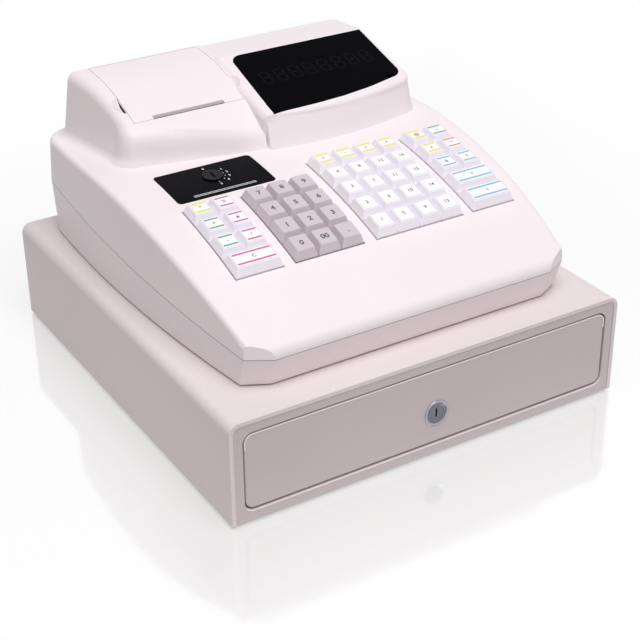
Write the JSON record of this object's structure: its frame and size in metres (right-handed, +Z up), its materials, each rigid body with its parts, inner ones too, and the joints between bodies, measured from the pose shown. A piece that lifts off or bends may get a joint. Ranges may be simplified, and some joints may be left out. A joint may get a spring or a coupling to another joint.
{
  "type": "electronic cash register",
  "caption": "Desktop electronic cash register: curved keyboard deck with key banks, raised printer and display hood, standing on a lockable sliding cash drawer.",
  "frame": {"origin": "middle of the footprint on the table under the rubber feet", "axes": "+X to the clerk's right, +Y to the rear, +Z up; the clerk stands at -Y and faces +Y"},
  "size_m": [0.33, 0.355, 0.2129],
  "materials": {
    "painted_cabinet": "fine textured off-white powder coat",
    "casing_plastic": "off-white moulded plastic, fine grain",
    "zinc_steel": "zinc plated sheet steel",
    "foot_rubber": "black rubber",
    "lock_chrome": "polished chrome",
    "till_plastic": "black moulded plastic",
    "clip_plastic": "dark grey plastic",
    "window_plastic": "black gloss",
    "circuit_board": "green solder mask",
    "printer_plastic": "dark grey plastic",
    "platen_rubber": "black rubber",
    "paper": "white thermal paper",
    "key_grey": "grey-mauve plastic",
    "key_white": "white under a clear cap",
    "screw_steel": "zinc plated steel"
  },
  "bodies": {
    "register": {"drawer_cabinet": "painted_cabinet", "cabinet_base": "zinc_steel", "front_bezel": "casing_plastic", "rubber_feet": "foot_rubber", "slide_outer_rails": "zinc_steel", "latch_solenoid": "zinc_steel", "lower_case": "casing_plastic", "upper_case": "casing_plastic", "display_window": "window_plastic", "display_board": "circuit_board", "mode_panel": "window_plastic", "mode_switch_body": "printer_plastic", "keyboard_plate": "zinc_steel", "main_board": "circuit_board", "printer_frame": "printer_plastic", "case_screws": "screw_steel"},
    "drawer": {"drawer_tray": "zinc_steel", "drawer_front": "casing_plastic", "slide_inner_members": "zinc_steel", "lock_housing": "lock_chrome", "till_insert": "till_plastic"},
    "slide_middle": {"slide_middle_members": "zinc_steel"},
    "lock": {"lock_plug": "lock_chrome", "lock_cam": "zinc_steel"},
    "latch": {"latch_lever": "zinc_steel"},
    "mode": {"mode_rotor": "window_plastic"},
    "cover": {"printer_cover": "casing_plastic"},
    "platen": {"platen_roller": "platen_rubber"},
    "paper": {"paper_roll": "paper"},
    "clip_1": {"bill_clip_1": "clip_plastic"},
    "clip_2": {"bill_clip_2": "clip_plastic"},
    "clip_3": {"bill_clip_3": "clip_plastic"},
    "clip_4": {"bill_clip_4": "clip_plastic"},
    "key_left_wide": {"key_left_wide": "key_white"},
    "key_left_2a": {"key_left_2a": "key_white"},
    "key_left_2b": {"key_left_2b": "key_white"},
    "key_left_3a": {"key_left_3a": "key_white"},
    "key_left_3b": {"key_left_3b": "key_white"},
    "key_left_4a": {"key_left_4a": "key_white"},
    "key_left_4b": {"key_left_4b": "key_white"},
    "key_0": {"key_0": "key_grey"},
    "key_00": {"key_00": "key_grey"},
    "key_point": {"key_point": "key_grey"},
    "key_1": {"key_1": "key_grey"},
    "key_2": {"key_2": "key_grey"},
    "key_3": {"key_3": "key_grey"},
    "key_4": {"key_4": "key_grey"},
    "key_5": {"key_5": "key_grey"},
    "key_6": {"key_6": "key_grey"},
    "key_7": {"key_7": "key_grey"},
    "key_8": {"key_8": "key_grey"},
    "key_9": {"key_9": "key_grey"},
    "key_right_wide_1": {"key_right_wide_1": "key_white"},
    "key_right_wide_2": {"key_right_wide_2": "key_white"},
    "keys_right_column_1": {"keys_right_column_1": "key_white"},
    "keys_right_column_2": {"keys_right_column_2": "key_white"},
    "keys_department_column_1": {"keys_department_column_1": "key_white"},
    "keys_department_column_2": {"keys_department_column_2": "key_white"},
    "keys_department_column_3": {"keys_department_column_3": "key_white"},
    "keys_department_column_4": {"keys_department_column_4": "key_white"}
  },
  "joints": [
    {"name": "bill_clip_1_swing", "type": "hinge", "parent": "drawer", "child": "clip_1", "pos_m": [-0.10365, 0.1272, 0.0497], "axis": [-1, 0, 0], "range_deg": [0, 45], "stiffness_Nm_per_rad": 0.03, "springref_deg": -22.92},
    {"name": "bill_clip_2_swing", "type": "hinge", "parent": "drawer", "child": "clip_2", "pos_m": [-0.03455, 0.1272, 0.0497], "axis": [-1, 0, 0], "range_deg": [0, 45], "stiffness_Nm_per_rad": 0.03, "springref_deg": -22.92},
    {"name": "bill_clip_3_swing", "type": "hinge", "parent": "drawer", "child": "clip_3", "pos_m": [0.03455, 0.1272, 0.0497], "axis": [-1, 0, 0], "range_deg": [0, 45], "stiffness_Nm_per_rad": 0.03, "springref_deg": -22.92},
    {"name": "bill_clip_4_swing", "type": "hinge", "parent": "drawer", "child": "clip_4", "pos_m": [0.10365, 0.1272, 0.0497], "axis": [-1, 0, 0], "range_deg": [0, 45], "stiffness_Nm_per_rad": 0.03, "springref_deg": -22.92},
    {"name": "cover_swing", "type": "hinge", "parent": "register", "child": "cover", "pos_m": [-0.05872, 0.1495, 0.2098], "axis": [-1, 0, 0], "range_deg": [0, 90]},
    {"name": "drawer_slide", "type": "slide", "parent": "register", "child": "drawer", "axis": [0, -1, 0], "range_m": [0, 0.25]},
    {"name": "latch_swing", "type": "hinge", "parent": "register", "child": "latch", "pos_m": [0, 0.1655, 0.0298], "axis": [1, 0, 0], "range_deg": [0, 10], "stiffness_Nm_per_rad": 0.01, "springref_deg": -17.19},
    {"name": "lock_turn", "type": "hinge", "parent": "drawer", "child": "lock", "pos_m": [0.0018, -0.1775, 0.0355], "axis": [0, 1, 0], "range_deg": [0, 90]},
    {"name": "middle_slide", "type": "slide", "parent": "register", "child": "slide_middle", "axis": [0, -1, 0], "range_m": [0, 0.125]},
    {"name": "mode_turn", "type": "hinge", "parent": "register", "child": "mode", "pos_m": [-0.0687, 0.01776, 0.16271], "axis": [0, -0.0883, 0.9961], "range_deg": [-45, 135]},
    {"name": "paper_turn", "type": "hinge", "parent": "register", "child": "paper", "pos_m": [-0.0589, 0.118, 0.1719], "axis": [1, 0, 0], "continuous": true},
    {"name": "platen_turn", "type": "hinge", "parent": "register", "child": "platen", "pos_m": [-0.0589, 0.079, 0.1844], "axis": [1, 0, 0], "continuous": true},
    {"name": "press_left_wide", "type": "slide", "parent": "register", "child": "key_left_wide", "axis": [0, 0.3041, -0.9526], "range_m": [0, 0.0025], "stiffness_N_per_m": 300, "springref_m": -0.0008},
    {"name": "press_left_2a", "type": "slide", "parent": "register", "child": "key_left_2a", "axis": [0, 0.2638, -0.9646], "range_m": [0, 0.0025], "stiffness_N_per_m": 300, "springref_m": -0.0008},
    {"name": "press_left_2b", "type": "slide", "parent": "register", "child": "key_left_2b", "axis": [0, 0.2638, -0.9646], "range_m": [0, 0.0025], "stiffness_N_per_m": 300, "springref_m": -0.0008},
    {"name": "press_left_3a", "type": "slide", "parent": "register", "child": "key_left_3a", "axis": [0, 0.2231, -0.9748], "range_m": [0, 0.0025], "stiffness_N_per_m": 300, "springref_m": -0.0008},
    {"name": "press_left_3b", "type": "slide", "parent": "register", "child": "key_left_3b", "axis": [0, 0.2231, -0.9748], "range_m": [0, 0.0025], "stiffness_N_per_m": 300, "springref_m": -0.0008},
    {"name": "press_left_4a", "type": "slide", "parent": "register", "child": "key_left_4a", "axis": [0, 0.1819, -0.9833], "range_m": [0, 0.0025], "stiffness_N_per_m": 300, "springref_m": -0.0008},
    {"name": "press_left_4b", "type": "slide", "parent": "register", "child": "key_left_4b", "axis": [0, 0.1819, -0.9833], "range_m": [0, 0.0025], "stiffness_N_per_m": 300, "springref_m": -0.0008},
    {"name": "press_0", "type": "slide", "parent": "register", "child": "key_0", "axis": [0, 0.3041, -0.9526], "range_m": [0, 0.0025], "stiffness_N_per_m": 300, "springref_m": -0.0008},
    {"name": "press_00", "type": "slide", "parent": "register", "child": "key_00", "axis": [0, 0.3041, -0.9526], "range_m": [0, 0.0025], "stiffness_N_per_m": 300, "springref_m": -0.0008},
    {"name": "press_point", "type": "slide", "parent": "register", "child": "key_point", "axis": [0, 0.3041, -0.9526], "range_m": [0, 0.0025], "stiffness_N_per_m": 300, "springref_m": -0.0008},
    {"name": "press_1", "type": "slide", "parent": "register", "child": "key_1", "axis": [0, 0.2638, -0.9646], "range_m": [0, 0.0025], "stiffness_N_per_m": 300, "springref_m": -0.0008},
    {"name": "press_2", "type": "slide", "parent": "register", "child": "key_2", "axis": [0, 0.2638, -0.9646], "range_m": [0, 0.0025], "stiffness_N_per_m": 300, "springref_m": -0.0008},
    {"name": "press_3", "type": "slide", "parent": "register", "child": "key_3", "axis": [0, 0.2638, -0.9646], "range_m": [0, 0.0025], "stiffness_N_per_m": 300, "springref_m": -0.0008},
    {"name": "press_4", "type": "slide", "parent": "register", "child": "key_4", "axis": [0, 0.2231, -0.9748], "range_m": [0, 0.0025], "stiffness_N_per_m": 300, "springref_m": -0.0008},
    {"name": "press_5", "type": "slide", "parent": "register", "child": "key_5", "axis": [0, 0.2231, -0.9748], "range_m": [0, 0.0025], "stiffness_N_per_m": 300, "springref_m": -0.0008},
    {"name": "press_6", "type": "slide", "parent": "register", "child": "key_6", "axis": [0, 0.2231, -0.9748], "range_m": [0, 0.0025], "stiffness_N_per_m": 300, "springref_m": -0.0008},
    {"name": "press_7", "type": "slide", "parent": "register", "child": "key_7", "axis": [0, 0.1819, -0.9833], "range_m": [0, 0.0025], "stiffness_N_per_m": 300, "springref_m": -0.0008},
    {"name": "press_8", "type": "slide", "parent": "register", "child": "key_8", "axis": [0, 0.1819, -0.9833], "range_m": [0, 0.0025], "stiffness_N_per_m": 300, "springref_m": -0.0008},
    {"name": "press_9", "type": "slide", "parent": "register", "child": "key_9", "axis": [0, 0.1819, -0.9833], "range_m": [0, 0.0025], "stiffness_N_per_m": 300, "springref_m": -0.0008},
    {"name": "press_right_wide_1", "type": "slide", "parent": "register", "child": "key_right_wide_1", "axis": [0, 0.3041, -0.9526], "range_m": [0, 0.0025], "stiffness_N_per_m": 300, "springref_m": -0.0008},
    {"name": "press_right_wide_2", "type": "slide", "parent": "register", "child": "key_right_wide_2", "axis": [0, 0.2638, -0.9646], "range_m": [0, 0.0025], "stiffness_N_per_m": 300, "springref_m": -0.0008},
    {"name": "press_right_column_1", "type": "slide", "parent": "register", "child": "keys_right_column_1", "axis": [0, 0.1819, -0.9833], "range_m": [0, 0.0025], "stiffness_N_per_m": 900, "springref_m": -0.0008},
    {"name": "press_right_column_2", "type": "slide", "parent": "register", "child": "keys_right_column_2", "axis": [0, 0.1819, -0.9833], "range_m": [0, 0.0025], "stiffness_N_per_m": 900, "springref_m": -0.0008},
    {"name": "press_department_column_1", "type": "slide", "parent": "register", "child": "keys_department_column_1", "axis": [0, 0.2231, -0.9748], "range_m": [0, 0.0025], "stiffness_N_per_m": 900, "springref_m": -0.0008},
    {"name": "press_department_column_2", "type": "slide", "parent": "register", "child": "keys_department_column_2", "axis": [0, 0.2231, -0.9748], "range_m": [0, 0.0025], "stiffness_N_per_m": 900, "springref_m": -0.0008},
    {"name": "press_department_column_3", "type": "slide", "parent": "register", "child": "keys_department_column_3", "axis": [0, 0.2231, -0.9748], "range_m": [0, 0.0025], "stiffness_N_per_m": 900, "springref_m": -0.0008},
    {"name": "press_department_column_4", "type": "slide", "parent": "register", "child": "keys_department_column_4", "axis": [0, 0.2231, -0.9748], "range_m": [0, 0.0025], "stiffness_N_per_m": 900, "springref_m": -0.0008}
  ],
  "couplings": [
    {"joint": "middle_slide", "follows": "drawer_slide", "ratio": 0.5}
  ]
}
